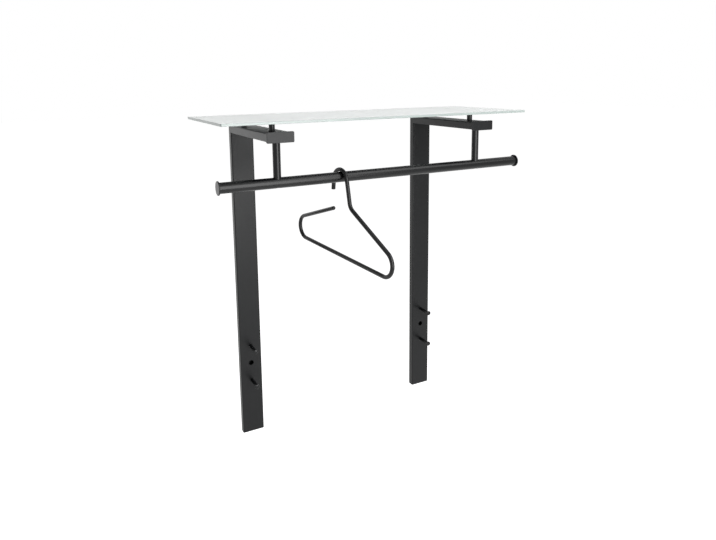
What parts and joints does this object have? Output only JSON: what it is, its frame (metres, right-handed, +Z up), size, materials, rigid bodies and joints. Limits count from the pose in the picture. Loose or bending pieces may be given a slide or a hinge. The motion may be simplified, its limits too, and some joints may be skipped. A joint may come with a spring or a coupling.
{
  "type": "wall coat rack",
  "caption": "Wall coat rack of two bent flat-tube brackets with a glass shelf on pins, a hung clothes rail with an open bent-tube hanger, and coat pegs near the feet.",
  "frame": {"origin": "on the wall plane, at the middle of the rectangle of four wall screws", "axes": "+Y into the wall (the brackets' backs lie at y = 0), -Y out to the front, +Z up along the brackets, +X to the right seen from the front"},
  "size_m": [0.836, 0.4685, 0.886],
  "materials": {
    "powder_coat": "satin black powder coat, fine texture",
    "rail_coat": "satin black powder coat, smooth",
    "pin_steel": "satin black powder coat on turned steel",
    "hanger_coat": "satin black powder coat on bent tube",
    "cap_plastic": "matt moulded, fine grain",
    "satin_glass": "toughened glass, satin faces, polished edge",
    "pad_rubber": "matt",
    "zinc_steel": "bright zinc plate"
  },
  "bodies": {
    "rack": {"upright_left": "powder_coat", "upright_right": "powder_coat", "arm_left": "powder_coat", "arm_right": "powder_coat", "arm_cap_left": "cap_plastic", "arm_cap_right": "cap_plastic", "foot_cap_left": "cap_plastic", "foot_cap_right": "cap_plastic", "glass_shelf": "satin_glass", "shelf_pin_front_left": "pin_steel", "shelf_pin_front_right": "pin_steel", "shelf_pin_rear_left": "pin_steel", "shelf_pin_rear_right": "pin_steel", "shelf_pads": "pad_rubber", "shelf_pin_nuts": "zinc_steel", "drop_post_left": "pin_steel", "drop_post_right": "pin_steel", "drop_post_nuts": "zinc_steel", "rail_tube": "rail_coat", "rail_cap_left": "cap_plastic", "rail_cap_right": "cap_plastic", "rail_screws": "zinc_steel", "coat_peg_upper_left": "pin_steel", "coat_peg_upper_right": "pin_steel", "coat_peg_lower_left": "pin_steel", "coat_peg_lower_right": "pin_steel", "coat_peg_nuts": "zinc_steel"},
    "hanger": {"hanger_tube": "hanger_coat", "hanger_tip_plug": "cap_plastic", "hanger_end_plug": "cap_plastic"}
  },
  "joints": [
    {"name": "hanger_slide", "type": "slide", "parent": "rack", "child": "hanger", "axis": [1, 0, 0], "range_m": [-0.139, 0.381]}
  ]
}
